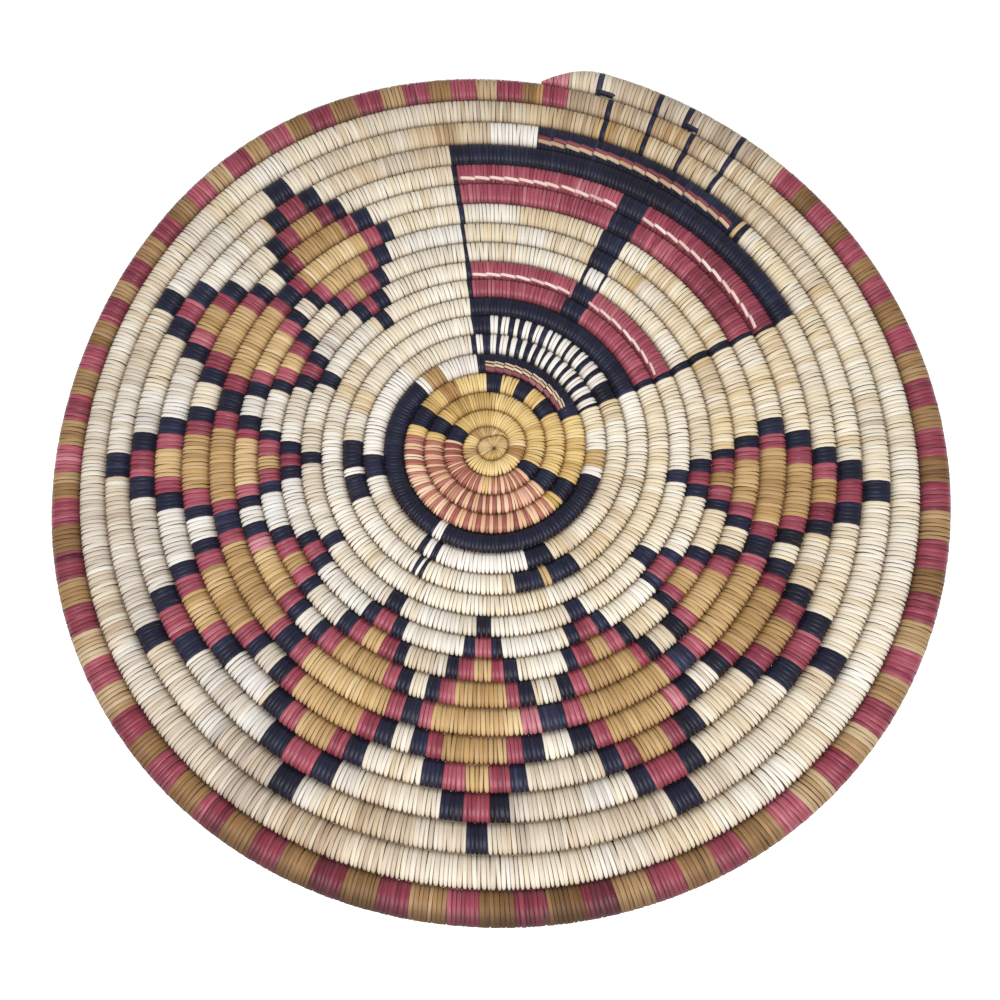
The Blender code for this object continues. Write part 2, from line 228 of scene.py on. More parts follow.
# The overlay strips, as the solids place them: the node, the splint's letter, first and last turns, the
# length of one stitch of it, its tone, its slant, and for each line of it the place across and the width
OVERLAYS = {
    "white_overlay_lower_right": ("p", 8.817, 8.908, 6.8, 0.5, 0.12, ((-0.69, 1.1),)),
    "white_overlay_lower_left": ("p", 8.926, 9.016, 6.8, 0.5, 0.12, ((-0.69, 1.1),)),
    "white_overlay_upper_right": ("p", 13.819, 13.910, 7.4, 0.5, 0.12, ((-0.67, 1.2),)),
    "white_overlay_upper_left": ("p", 13.926, 14.017, 7.4, 0.5, 0.12, ((-0.67, 1.2),)),
    "cream_overlay_crown": ("e", 3.827, 4.009, 4.6, 0.5, 0.13, ((-0.15, 0.7), (-0.44, 0.95))),
    "red_overlay_crown": ("d", 3.827, 4.009, 4.6, 0.4, 0.13, ((-0.78, 1.4),)),
    "cream_overlay_rim": ("e", 15.872, 15.977, 7.0, 0.3, 0.12, ((-0.63, 1.5),)),
    "red_overlay_rim": ("d", 15.872, 15.977, 7.0, 0.2, 0.12, ((-0.34, 1.6),)),
}
OVERLAY_LIFT = 0.3

# Where a navy line steps aside from one turn to the next, a navy splint runs along the seam between them, as
# one stitch of an overlay
SEAM_STEPS = {"right": (18.9112, 18.9178), "left": (18.9484, 18.9559)}
SEAM_STEP_LENGTH = 20
SEAM_STEP_TONE = 0.5
SEAM_STEP_SLANT = 0
SEAM_STEP_LINES = ((-0.8, 1.9),)


def face_degrees(turns):
    """The direction of a place on the face, in degrees counterclockwise from the right."""
    return START_DEGREES + 360 * turns


def plain_radius(turns):
    """The spiral's radius: its step along the turns, widening as a cubic, combined with the knot's radius."""
    linear, second, third = STEP_GROWTH_SHARES
    spiral = COIL_STEP * (linear * turns + second * turns**2 + third * turns**3)
    return np.hypot(spiral, KNOT_RADIUS)


def hump(distance, reach):
    """1 in the middle, easing to 0 at the reach: a squared cosine."""
    return np.cos(np.clip(np.abs(distance) / reach, 0, 1) * np.pi / 2) ** 2


def aside(angle, direction):
    """How many degrees an angle lies to either side of a direction."""
    return (angle - direction + 180) % 360 - 180


def stray(radius, angle):
    """How far the seam strays outwards: for each tight or slack stretch a share of the step, added up."""
    share = radius / plain_radius(TURNS)
    outwards = 0.0
    for direction, reach, middle_share, outward_share in STRAY_SHARES:
        strength = hump(aside(np.degrees(angle), direction), reach)
        strength = strength * hump(share - middle_share, STRAY_REACH_SHARE)
        outwards = outwards + COIL_STEP * outward_share * strength
    return outwards


def seam_point(turns):
    """A point on the seam: the radius, out of round by a few waves that grow with it and by the strays."""
    angle = START_ANGLE + 2 * np.pi * turns
    radius = plain_radius(turns)
    wave = sum(
        cosine * np.cos(count * angle) + sine * np.sin(count * angle)
        for count, (cosine, sine) in WAVE_SHARES.items()
    )
    radius = radius * (1 + wave * radius / plain_radius(TURNS))
    radius = radius + stray(radius, angle)
    return np.stack([radius * np.cos(angle), radius * np.sin(angle)], axis=-1)


def knot_edge(turns):
    """The knot's outer edge, at -1 to 0 turns: the first turn's outer seam, drawn in to where its inner seam
    begins while the coil grows out beside it."""
    outer = seam_point(turns + 1)
    full = np.linalg.norm(outer, axis=-1, keepdims=True)
    drawn_in = np.linalg.norm(seam_point(np.zeros(1))) / full
    return outer * (1 + (drawn_in - 1) * hump(turns, -COIL_BEGIN)[..., None])


def tail_share(turns, least):
    """1 along the coil, falling faster and faster to the least share where the tail ends."""
    share = np.clip((turns - TAIL_START) / (TAIL_END - TAIL_START), 0, 1)
    return 1 - (1 - least) * share * share


def half_height(turns):
    """Half the coil's thickness, a share of its step, less in the tail; for the knot, half the knot's."""
    step = plain_radius(turns + 1) - plain_radius(turns)
    coil = HEIGHT_SHARE * step / 2 * tail_share(turns, TAIL_HEIGHT_SHARE)
    return np.where(turns < KNOT_PLACES[1], KNOT_HALF_HEIGHT, coil)


def coil_point(turns, across, height, floor_gap=0.0):
    """A point in metres: from the inner seam towards the seam one turn out, and up from the middle height.
    The knot, at -2 to -1 turns, runs from its hole to its edge. The back is pressed flat on the floor."""
    angle = START_ANGLE + 2 * np.pi * turns
    hole = np.stack([np.cos(angle), np.sin(angle)], axis=-1) * KNOT_HOLE_RADIUS + KNOT_HOLE
    knot = (turns < KNOT_PLACES[1])[..., None]
    begin = (turns < 0)[..., None]
    inner = np.where(knot, hole, np.where(begin, knot_edge(turns), seam_point(turns)))
    outer = np.where(knot, knot_edge(turns + 1), seam_point(turns + 1))
    share = (1 + across) / 2 * tail_share(turns, TAIL_WIDTH_SHARE)
    level = inner + (outer - inner) * share[..., None] - OUTLINE_MIDDLE
    rise = np.maximum(MIDDLE_HEIGHT + height * half_height(turns), floor_gap)
    return np.concatenate([level, rise[..., None]], axis=-1) * MM


def round_section(angle):
    """Across and height on the coil's round: a superellipse, the signed power of the cosine and the sine."""
    power = 2 / ROUNDNESS
    return (
        np.sign(np.cos(angle)) * np.abs(np.cos(angle)) ** power,
        np.sign(np.sin(angle)) * np.abs(np.sin(angle)) ** power,
    )


def middle_radius(turns):
    """The radius of the coil's middle, halfway between its two seams."""
    return (plain_radius(turns) + plain_radius(turns + 1)) / 2


# How many stitches lie between the knot and each place: the coil's length over the pitch, added up
COUNT_END = 20
COUNT_STEPS = 8801
COUNT_PLACES = np.linspace(KNOT_PLACES[0], COUNT_END, COUNT_STEPS)
BETWEEN_PLACES = (COUNT_PLACES[1:] + COUNT_PLACES[:-1]) / 2
COUNTS = np.concatenate([[0], np.cumsum(
    2 * np.pi * middle_radius(np.where(BETWEEN_PLACES < KNOT_PLACES[1], BETWEEN_PLACES + 1, BETWEEN_PLACES))
    / np.interp(BETWEEN_PLACES, PITCH_TURNS, PITCHES) * np.diff(COUNT_PLACES)
)])


# How far the cuts between stitches wander from even, as a spread and at most, in stitches
CUT_SPREAD = 0.1
CUT_LIMIT = 0.22


def chart_runs():
    """Every run of one colour, as its letter and its first and last place along the coil, the knot first."""
    runs = [("n", *KNOT_PLACES)]
    for row, line in enumerate(CHART):
        words = [(word[0], float(word[1:])) for word in line.split()]
        if row == 0:
            rim = []
            for start in RIM_RED_STARTS:
                rim += [("o", start), ("r", start + RIM_RED_WIDTH)]
            words = rim + words
        angles = np.array([CHART_START] + [end for _, end in words])
        places = (angles - START_DEGREES) / 360 + LAST_TURN - row
        if row == LAST_TURN:
            places[0] = COIL_BEGIN
        places = places.clip(COIL_BEGIN, TAIL_END)
        runs += [(word[0], first, last) for word, first, last in zip(words, places, places[1:])]
    return runs


def sew(runs):
    """The stitches of the runs: each run is cut into whole stitches of about the pitch, evenly in count, and
    the cuts inside it wander a little. Returns the letters, the middles and the half spans in turns, and the
    run's part of the tone."""
    letters, middles, halves, run_tones = [], [], [], []
    for letter, first, last in runs:
        first_count, last_count = np.interp([first, last], COUNT_PLACES, COUNTS)
        stitches = max(1, int(round(last_count - first_count)))
        cuts = np.linspace(first_count, last_count, stitches + 1)
        cuts[1:-1] += rng.normal(0, CUT_SPREAD, stitches - 1).clip(-CUT_LIMIT, CUT_LIMIT)
        places = np.interp(cuts, COUNTS, COUNT_PLACES)
        letters += [letter] * stitches
        middles.append((places[1:] + places[:-1]) / 2)
        halves.append(np.diff(places) / 2)
        run_tones += [rng.normal(0, RUN_SPREADS.get(letter, RUN_SPREAD))] * stitches
    return np.array(letters), np.concatenate(middles), np.concatenate(halves), np.array(run_tones)


def drift(stitches, stretches):
    """A number for each stitch round 0: one draw for each stretch of each kind, added up."""
    total = np.zeros(stitches)
    for shortest, longest, spread in stretches:
        lengths = rng.integers(shortest, longest, size=stitches)
        total += np.repeat(rng.normal(0, spread, stitches), lengths)[:stitches]
    return total


def patches(places, rows):
    """The sum of soft patches on the face: amount x hump round the face x hump across the turns."""
    angle = face_degrees(places)
    return sum(
        amount * hump(aside(angle, direction), reach) * hump(places - turn, turn_reach)
        for direction, reach, turn, turn_reach, amount in rows
    )


# The slant of the stitches in degrees at these turns, what the right side adds on the last turn, and how much
# one stitch differs; near the start two stretches slant the other way: direction, reach and slant
LEAN_TURNS = (1, 4, 8, 19)
LEANS = (-4, -1, 1.5, 2)
RIGHT_LEAN = 2.2
LEAN_SPREAD = 1.4
START_LEAN_TURNS = (4, 5.5)
START_LEANS = ((200, 28, 14), (285, 14, 8))


def stitch_leans(places):
    """How far a stitch's outer end lies ahead of its inner end, in degrees of slant: more outwards on the
    outer turns and the right, the other way near the start."""
    angle = face_degrees(places)
    lean = np.interp(places, LEAN_TURNS, LEANS)
    lean = lean + RIGHT_LEAN * np.cos(np.radians(angle)) * places / LEAN_TURNS[-1]
    near = np.interp(places, START_LEAN_TURNS, (1, 0))
    back = sum(degrees * hump(aside(angle, direction), reach) for direction, reach, degrees in START_LEANS)
    return lean - near * back + rng.normal(0, LEAN_SPREAD, len(places))


def stitch_sheets(middles, halves):
    """The stitches as sheets of points, stitches by rows by columns by 3. The rows follow the round from the
    hole in the turn inside, over the face, down the outer side and back under; the columns run along the
    coil. Along = middle + column x half span x cover + slant x across + one pitch forward under the back.
    Height off the round = a crown between sunk edges, with each stitch a little higher, lower or tipped."""
    degrees = np.degrees(WRAP_ANGLES)
    across, height = round_section(WRAP_ANGLES)
    across = np.concatenate([[DIVE_ACROSS], across, [DIVE_ACROSS]])[None, :, None]
    height = np.concatenate([[DIVE_HEIGHT], height, [-DIVE_HEIGHT]])[None, :, None]
    cover = np.interp(degrees, COVER_ANGLES, COVER_SHARES)
    cover = np.concatenate([[DIVE_COVER_SHARE], cover, [DIVE_COVER_SHARE]])[None, :, None]
    forward = np.interp(-degrees, (0, BACK_STITCH_ANGLE), (0, BACK_STITCH_SHARE))
    forward = np.concatenate([[0], forward, [1.0]])[None, :, None]

    count = len(middles)
    middle, half = middles[:, None, None], halves[:, None, None]
    column = STITCH_COLUMNS[None, None, :]
    coil = np.maximum(middles, 0)
    width = plain_radius(coil + 1) - plain_radius(coil)
    slant = np.tan(np.radians(stitch_leans(middles))) * width / (4 * np.pi * middle_radius(coil))
    cover = cover * rng.normal(1, COVER_SPREAD, (count, 1, 1))
    drawn_in = np.interp(degrees, TOOTH_ANGLES, TOOTH_SHARES, left=0, right=0)
    drawn_in = np.concatenate([[0], drawn_in, [0]])[None, :, None]
    cover = cover * (1 - drawn_in * rng.uniform(*TOOTH_SPREAD, (count, 1, 1)) * (middle < TAIL_END - 1))
    turns = middle + column * half * cover + slant[:, None, None] * across + 2 * half * forward
    turns = np.where(middle < KNOT_PLACES[1], (turns - KNOT_PLACES[0]) % 1 + KNOT_PLACES[0], turns)

    pitch = (4 * np.pi * middle_radius(coil) * halves)[:, None, None]
    lift = rng.normal(0, STITCH_LIFT_SPREAD, (count, 1, 1)).clip(-STITCH_LIFT_LIMIT, STITCH_LIFT_LIMIT)
    tip = rng.normal(0, STITCH_LIFT_SPREAD, (count, 1, 1)).clip(-STITCH_LIFT_LIMIT, STITCH_LIFT_LIMIT)
    sink = rng.uniform(*EDGE_SINK_SPREAD, (count, 1, 1)) * EDGE_SINK_SHARE * pitch
    sink = sink * (np.abs(column) > EDGE_COLUMN)
    scale = 1 + (lift + tip * column - sink) / half_height(middles)[:, None, None]
    across = np.where(np.abs(across) > 1, across, across * scale)
    across = np.broadcast_to(across, turns.shape)
    return coil_point(turns, across, height * scale, sink + STITCH_FLOOR_GAP)


# Each sheet's fibres start somewhere else, up to so many metres away, and each bake cell has empty margins
FIBRE_OFFSET = 4
CELL_SIDE_MARGIN = 0.08
CELL_END_MARGIN = 0.02


def grid_piece(name, sheets, material, slot, nodes, strip_uv=True, around=False, **values):
    """A mesh of one or many sheets of points, sheets by rows by columns by 3. Each square of four points is a
    face, turned so that rows cross columns points outwards. A sheet that goes around joins its last column
    to its first. The fibre map is in metres across and along; the bake map gives each sheet its own cell."""
    sheet_count, rows, columns = sheets.shape[:3]
    index = np.arange(sheet_count * rows * columns).reshape(sheet_count, rows, columns)
    wrapped = np.concatenate([index, index[..., :1]], axis=-1) if around else index
    faces = np.stack([
        wrapped[:, :-1, :-1], wrapped[:, 1:, :-1], wrapped[:, 1:, 1:], wrapped[:, :-1, 1:]
    ], axis=-1).reshape(-1, 4)
    mesh = bpy.data.meshes.new(name)
    mesh.from_pydata(sheets.reshape(-1, 3), [], faces)
    mesh.polygons.foreach_set("use_smooth", np.ones(len(faces), dtype=bool))
    for label, per_point in values.items():
        layer = mesh.attributes.new(label, "FLOAT", "POINT")
        spread = np.broadcast_to(per_point, (sheet_count, rows, columns))
        layer.data.foreach_set("value", spread.astype(np.float32).ravel())
    if strip_uv:
        middle = columns // 2
        steps = np.linalg.norm(np.diff(sheets[:, :, middle], axis=1), axis=-1)
        long = np.concatenate([np.zeros((sheet_count, 1)), np.cumsum(steps, axis=1)], axis=1)
        wide = np.linalg.norm(np.diff(sheets[:, rows // 3], axis=1), axis=-1)
        wide = np.concatenate([np.zeros((sheet_count, 1)), np.cumsum(wide, axis=1)], axis=1)
        fibre = np.stack(np.broadcast_arrays(wide[:, None, :], long[:, :, None]), axis=-1)
        fibre = fibre + rng.uniform(0, FIBRE_OFFSET, (sheet_count, 1, 1, 2))
        put_map(mesh, "fibre", fibre)
        put_map(mesh, "OFBake", bake_cells(wide, long))
    mesh.materials.append(material)
    mesh.update()
    piece = bpy.data.objects.new(name, mesh)
    bpy.context.scene.collection.objects.link(piece)
    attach(piece, "root")
    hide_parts(*nodes)


def put_map(mesh, name, points):
    """A UV map from one pair of numbers for each point of the grid."""
    corners = np.empty(len(mesh.loops), dtype=np.int32)
    mesh.loops.foreach_get("vertex_index", corners)
    layer = mesh.uv_layers.new(name=name)
    layer.data.foreach_set("uv", points.reshape(-1, 2)[corners].astype(np.float32).ravel())


def bake_cells(wide, long):
    """Each sheet in a cell of its own, so none overlap: cells in rows and columns that fill the square."""
    count = len(wide)
    slimness = np.median(long[:, -1]) / np.median(wide[:, -1])
    per_row = max(1, int(np.ceil(np.sqrt(count * slimness))))
    rows = int(np.ceil(count / per_row))
    column, row = np.arange(count) % per_row, np.arange(count) // per_row
    u = (column[:, None] + CELL_SIDE_MARGIN + (1 - 2 * CELL_SIDE_MARGIN) * wide / wide[:, -1:]) / per_row
    v = (row[:, None] + CELL_END_MARGIN + (1 - 2 * CELL_END_MARGIN) * long / long[:, -1:]) / rows
    return np.stack(np.broadcast_arrays(u[:, None, :], v[:, :, None]), axis=-1)


def linear(hex_colour):
    """An sRGB hex colour as linear red, green and blue with alpha 1."""
    shares = np.array([int(hex_colour[i:i + 2], 16) for i in (1, 3, 5)]) / 255
    return (*np.where(shares <= 0.04045, shares / 12.92, ((shares + 0.055) / 1.055) ** 2.4), 1.0)


def add_node(tree, kind, links=None, values=None, **settings):
    """Adds a node with its settings, its unlinked inputs' values, and links from other nodes' outputs."""
    node = tree.nodes.new(kind)
    for setting, value in settings.items():
        setattr(node, setting, value)
    for socket, value in (values or {}).items():
        node.inputs[socket].default_value = value
    for socket, output in (links or {}).items():
        tree.links.new(output, node.inputs[socket])
    return node


def set_ramp(ramp, stops):
    """A colour ramp's stops, as pairs of place and sRGB hex colour."""
    while len(ramp.color_ramp.elements) < len(stops):
        ramp.color_ramp.elements.new(0.5)
    for element, (place, colour) in zip(ramp.color_ramp.elements, stops):
        element.position = place
        element.color = linear(colour)


# Fibres of a yucca leaf are about 0.1 mm apart; they are drawn 0.3 mm apart so that they show
FIBRE_SPACING = 0.0003
FIBRE_LENGTH = 0.012
FIBRE_SHARE = 0.5
RIDGE_HEIGHT = 0.00008

# The skin's roughness varies from fibre to fibre between these either side of its own, and rises in the seams
SKIN_SMOOTHER = 0.07
SKIN_ROUGHER = 0.09
SEAM_ROUGHNESS = 0.4


def splint(name, tones, shade_and_dust_tint, roughness, gloss):
    """Yucca leaf split by hand into a strip and sewn damp, so it dries tight with a satin skin. The eye gets
    fine long fibres, a tone of its own for each splint, and down in the seams and grooves painted shade,
    with some browner dust and age in the seams."""
    material = bpy.data.materials.new(name)
    material.use_nodes = True
    tree = material.node_tree
    tree.nodes.clear()
    tone = add_node(tree, "ShaderNodeAttribute", attribute_name="tone")
    warmth = add_node(tree, "ShaderNodeAttribute", attribute_name="warmth")
    deep = add_node(tree, "ShaderNodeAttribute", attribute_name="deep")
    place = add_node(tree, "ShaderNodeUVMap", uv_map="fibre")
    stretched = add_node(
        tree, "ShaderNodeVectorMath", {0: place.outputs["UV"]},
        {1: (1 / FIBRE_SPACING, 1 / FIBRE_LENGTH, 1)}, operation="MULTIPLY",
    )
    fibres = add_node(
        tree, "ShaderNodeTexNoise", {"Vector": stretched.outputs[0]},
        {"Scale": 1.0, "Detail": 2.0, "Roughness": 0.6}, noise_dimensions="2D",
    )
    streak = add_node(
        tree, "ShaderNodeMath", {0: fibres.outputs["Fac"]}, {1: 0.5}, operation="SUBTRACT",
    )
    shade = add_node(
        tree, "ShaderNodeMath", {0: streak.outputs[0], 2: tone.outputs["Fac"]},
        {1: FIBRE_SHARE}, operation="MULTIPLY_ADD",
    )
    colour = add_node(tree, "ShaderNodeValToRGB", {"Fac": shade.outputs[0]})
    set_ramp(colour, list(zip(np.linspace(0.0, 1.0, len(tones)), tones)))
    bleached = add_node(
        tree, "ShaderNodeHueSaturation",
        {"Saturation": warmth.outputs["Fac"], "Color": colour.outputs["Color"]},
    )
    # Down in the seams and grooves the colour is multiplied by a darker tint: painted shade, with some dust
    # in the seams
    shaded_and_dusty = add_node(
        tree, "ShaderNodeMix", {0: deep.outputs["Fac"], 6: bleached.outputs["Color"]},
        {7: linear(shade_and_dust_tint)}, data_type="RGBA", blend_type="MULTIPLY",
    )
    skin = add_node(
        tree, "ShaderNodeMapRange", {"Value": fibres.outputs["Fac"]},
        {
            "From Min": 0.3, "From Max": 0.7,
            "To Min": roughness - SKIN_SMOOTHER, "To Max": roughness + SKIN_ROUGHER,
        },
    )
    rough = add_node(
        tree, "ShaderNodeMath", {0: deep.outputs["Fac"], 2: skin.outputs["Result"]}, {1: SEAM_ROUGHNESS},
        operation="MULTIPLY_ADD",
    )
    ridges = add_node(
        tree, "ShaderNodeBump", {"Height": fibres.outputs["Fac"]},
        {"Strength": 0.5, "Distance": RIDGE_HEIGHT},
    )
    shader = add_node(
        tree, "ShaderNodeBsdfPrincipled",
        {"Base Color": shaded_and_dusty.outputs[2], "Roughness": rough.outputs[0], "Normal": ridges.outputs[0]},
        {"IOR": 1.47, "Specular IOR Level": gloss},
    )
    add_node(tree, "ShaderNodeOutputMaterial", {"Surface": shader.outputs[0]})
    return material


# Each splint: its name in the pieces, its material, its slot, its colours from dark to light, the tint of
# the painted shade and dust down in the seams, the roughness and the gloss. The last three are the overlay
# strips.
SPLINT_LOOKS = {
    "n": (
        "natural", "natural_yucca_splint", "natural_yucca",
        ("#AE9478", "#D3BFA2", "#E9DCC5", "#F5EDDD", "#FCF8EF"), "#6C5642", 0.5, 0.35,
    ),
    "w": (
        "white", "white_yucca_heart_leaf", "white_yucca",
        ("#D0C4BC", "#E9DFD6", "#F5EFE6", "#FAF5EE", "#FCFAF4"), "#86705E", 0.5, 0.35,
    ),
    "c": (
        "cream", "cream_dyed_yucca_splint", "cream_yucca",
        ("#B8886C", "#D6A886", "#E9BC98", "#F2CAA6", "#F9DCC0"), "#7A5038", 0.5, 0.35,
    ),
    "g": (
        "gold", "gold_yucca_splint", "gold_yucca",
        ("#86633C", "#A68152", "#C19D6B", "#D8B885", "#EED8AE"), "#70502C", 0.48, 0.35,
    ),
    "o": (
        "old_gold", "old_gold_yucca_splint", "gold_yucca",
        ("#6C4C2C", "#88653E", "#9C774E", "#B49268", "#D0B896"), "#604428", 0.48, 0.4,
    ),
    "y": (
        "yellow", "yellow_sunned_yucca_splint", "yellow_yucca",
        ("#9C7A46", "#C8A464", "#E4C280", "#F0D496", "#FCEAB8"), "#785630", 0.48, 0.35,
    ),
    "b": (
        "brown", "brown_yucca_splint", "gold_yucca",
        ("#825B32", "#996C3C", "#AA7C48", "#BA8F5A", "#CEA874"), "#64442A", 0.48, 0.35,
    ),
    "r": (
        "red", "red_dyed_yucca_splint", "red_yucca",
        ("#4E1220", "#7E2C3E", "#9E4355", "#B7606E", "#D48E96"), "#5C303A", 0.38, 0.5,
    ),
    "f": (
        "faded_red", "faded_red_yucca_splint", "red_yucca",
        ("#7A3A3A", "#9A544C", "#B06A5C", "#C27E6E", "#DEA494"), "#6A403A", 0.46, 0.4,
    ),
    "k": (
        "navy", "navy_dyed_yucca_splint", "navy_yucca",
        ("#050610", "#0D0E22", "#161831", "#242743", "#424662"), "#3A3C4C", 0.42, 0.35,
    ),
    "p": (
        "pinkish_white", "pinkish_white_yucca_strip", "white_yucca",
        ("#C9A49A", "#DFC0B6", "#ECD2C8", "#F5E2DA", "#FBEFE9"), "#86685C", 0.5, 0.35,
    ),
    "e": (
        "pale_cream", "pale_cream_yucca_strip", "cream_yucca",
        ("#A07C62", "#C2A080", "#D8BC9A", "#E6D2B2", "#F2E6CC"), "#70503C", 0.5, 0.35,
    ),
    "d": (
        "dusty_red", "dusty_red_yucca_strip", "red_yucca",
        ("#6C3038", "#84444C", "#985860", "#AA6C72", "#BE868A"), "#4C2A30", 0.5, 0.35,
    ),
}
SPLINTS = {
    letter: (name, splint(material_name, *look), slot)
    for letter, (name, material_name, slot, *look) in SPLINT_LOOKS.items()
}


# Painted shade, with some dust, on a stitch at the angles of its way round, from one dive into the turn
# inside to the other
SEAM_ANGLES = (-175, -140, -100, -30, 0, 18, 38, 125, 148, 158, 175)
SEAM_SHADES_AND_DUST = (1.0, 0.6, 0.4, 0.8, 0.7, 0.15, 0.0, 0.04, 0.12, 0.55, 1.0)

# The rim's outer side: how much painted shade it gets at the angles of the round, in full at the bottom of
# the plaque, where the side is in its own shade, and the least share of it elsewhere
RIM_SIDE_ANGLES = (-60, 0, 40, 60, 75, 92)
RIM_SIDE_SHADES = (0.9, 0.88, 0.76, 0.6, 0.4, 0.0)
RIM_SHADE_DIRECTION = 262
RIM_SHADE_REACH = 76
RIM_SHADE_LEAST = 0.1


def seam_shade_and_dust(middles):
    """How much painted shade, with some dust in the seams, darkens each point of a stitch: along the stitch 0
    over the face, rising to 1 where it goes into a seam; on the rim's outer side the painted shade of that
    side instead; across it some painted shade in the grooves at the edges, another for each stitch."""
    degrees = np.concatenate([SEAM_ANGLES[-1:], np.degrees(WRAP_ANGLES), SEAM_ANGLES[:1]])[None, :, None]
    # Painted shade, with some dust, along the stitch: none over the face, full where it goes into a seam
    deep = np.interp(degrees, SEAM_ANGLES, SEAM_SHADES_AND_DUST)
    # The rim's outer side gets painted shade instead of the seams' tint, strongest at the bottom of the
    # plaque
    shade = hump(aside(face_degrees(middles), RIM_SHADE_DIRECTION), RIM_SHADE_REACH)
    shade = RIM_SHADE_LEAST + (1 - RIM_SHADE_LEAST) * shade
    side = np.interp(degrees, RIM_SIDE_ANGLES, RIM_SIDE_SHADES) * shade[:, None, None]
    rim = middles[:, None, None] > TAIL_END - 1
    open_side = (degrees >= RIM_SIDE_ANGLES[0]) & (degrees <= RIM_SIDE_ANGLES[-1])
    deep = np.where(rim & open_side, side, deep)
    # Painted shade in the grooves at each stitch's edges
    edge = rng.uniform(*EDGE_SHADE, (len(middles), 1, 1)) * (np.abs(STITCH_COLUMNS) > EDGE_COLUMN)
    return 1 - (1 - deep) * (1 - edge)


# The sewing: a piece for each colour of each turn, the knot first
letters, middles, halves, run_tones = sew(chart_runs())
sheets = stitch_sheets(middles, halves)
natural = letters == "n"
tones = MIDDLE_TONE + run_tones + drift(len(letters), TONE_STRETCHES)
tones += natural * patches(middles, TONE_PATCHES)
# Painted shade on the red splints of the lower rim
tones += (letters == "r") * patches(middles, RED_SHADE_PATCHES)
warmths = 1 + rng.normal(0, WARMTH_SPREAD, len(letters))
warmth_drift = drift(len(letters), WARMTH_STRETCHES) * (middles > 0)
warmths += natural * (warmth_drift + patches(middles, WARMTH_PATCHES))
turn_numbers = np.where(middles < KNOT_PLACES[1], 0, np.floor(middles).clip(0, LAST_TURN) + 1)
for turn in range(LAST_TURN + 2):
    node = f"sewn_turn_{turn:02d}" if turn else "start_knot"
    for letter in SPLINTS:
        chosen = (turn_numbers == turn) & (letters == letter)
        if not chosen.any():
            continue
        colour_name, material, slot = SPLINTS[letter]
        place_name = f"turn_{turn:02d}" if turn else "start_knot"
        grid_piece(
            f"{place_name}_{colour_name}_stitches", sheets[chosen], material, slot, [node],
            tone=tones[chosen][:, None, None], warmth=warmths[chosen].clip(0)[:, None, None],
            deep=seam_shade_and_dust(middles[chosen]),
        )


# The grass in the coil: a bundle of stems about 1.2 mm thick, dry and straw brown
CORE_STEMS = 12
CORE_POINTS = 48
CORE_STEPS_PER_TURN = 72
CORE_RIPPLE_SHARE = 0.012
CORE_TWIST = 5
CORE_END_GAP = 0.0008
CORE_FLOOR_GAP = 0.35


def build_grass():
    """The bundle as a tube: at each place a ring of the coil's round, a share smaller, with a ripple for the
    stems that turns slowly along the coil; the rings close to a point at both ends."""
    steps = int(CORE_STEPS_PER_TURN * (TAIL_END - COIL_BEGIN))
    turns = np.linspace(COIL_BEGIN, TAIL_END - CORE_END_GAP, steps)[:, None]
    around = -np.arange(CORE_POINTS) * 2 * np.pi / CORE_POINTS
    across, height = round_section(around[None, :])
    ripple = CORE_RIPPLE_SHARE * np.cos(CORE_STEMS * around[None, :] + CORE_TWIST * turns)
    ends = np.minimum(np.arange(steps), np.arange(steps)[::-1]).clip(0, 1)[:, None]
    share = (1 + ripple - CORE_RIPPLE_SHARE) * ends
    turns = np.broadcast_to(turns, share.shape)
    across = across * share * CORE_WIDTH_SHARE
    points = coil_point(turns, across, height * share * CORE_SHARE, CORE_FLOOR_GAP)
    grid_piece(
        "grass_bundle", points[None], dry_grass_in_painted_shade(), "galleta_grass", ["grass_foundation"],
        strip_uv=False, around=True,
    )


def dry_grass_in_painted_shade():
    """Stems of dry galleta grass, cut and bundled: straw brown with a hard dull skin. The straw is painted
    dark, as painted shade, since it shows only in the shaded gaps between the stitches, browner where dust
    lies."""
    material = bpy.data.materials.new("dry_galleta_grass_in_painted_shade")
    material.use_nodes = True
    tree = material.node_tree
    tree.nodes.clear()
    place = add_node(tree, "ShaderNodeTexCoord")
    mottle = add_node(
        tree, "ShaderNodeTexNoise", {"Vector": place.outputs["Object"]},
        {"Scale": 1 / 0.0012, "Detail": 3.0, "Roughness": 0.6},
    )
    colour = add_node(tree, "ShaderNodeValToRGB", {"Fac": mottle.outputs["Fac"]})
    # The straw's colours are painted dark: painted shade for the gaps between the stitches
    set_ramp(colour, [(0.3, "#32261A"), (0.5, "#4C3C28"), (0.7, "#6A563A")])
    ridges = add_node(
        tree, "ShaderNodeBump", {"Height": mottle.outputs["Fac"]}, {"Strength": 0.4, "Distance": 0.0002},
    )
    shader = add_node(
        tree, "ShaderNodeBsdfPrincipled",
        {"Base Color": colour.outputs["Color"], "Normal": ridges.outputs[0]},
        {"IOR": 1.5, "Roughness": 0.7},
    )
    add_node(tree, "ShaderNodeOutputMaterial", {"Surface": shader.outputs[0]})
    return material


build_grass()


# The overlay strips: each is a row of short stitches that lie on the sewing and overlap like bricks
OVERLAY_ROWS = 9
OVERLAY_COLUMNS = np.array([-1.0, -0.55, 0.55, 1.0])
OVERLAY_LAP_SHARE = 0.06
OVERLAY_START_SPREAD = 0.06
OVERLAY_WOBBLE = 0.012
OVERLAY_SINK = 0.3
OVERLAY_END_POWER = 8
OVERLAY_TONE_SPREAD = 0.12
# How much painted shade an overlay stitch gets at its ends, where it goes into the sewing
OVERLAY_END_SHADE = 0.8


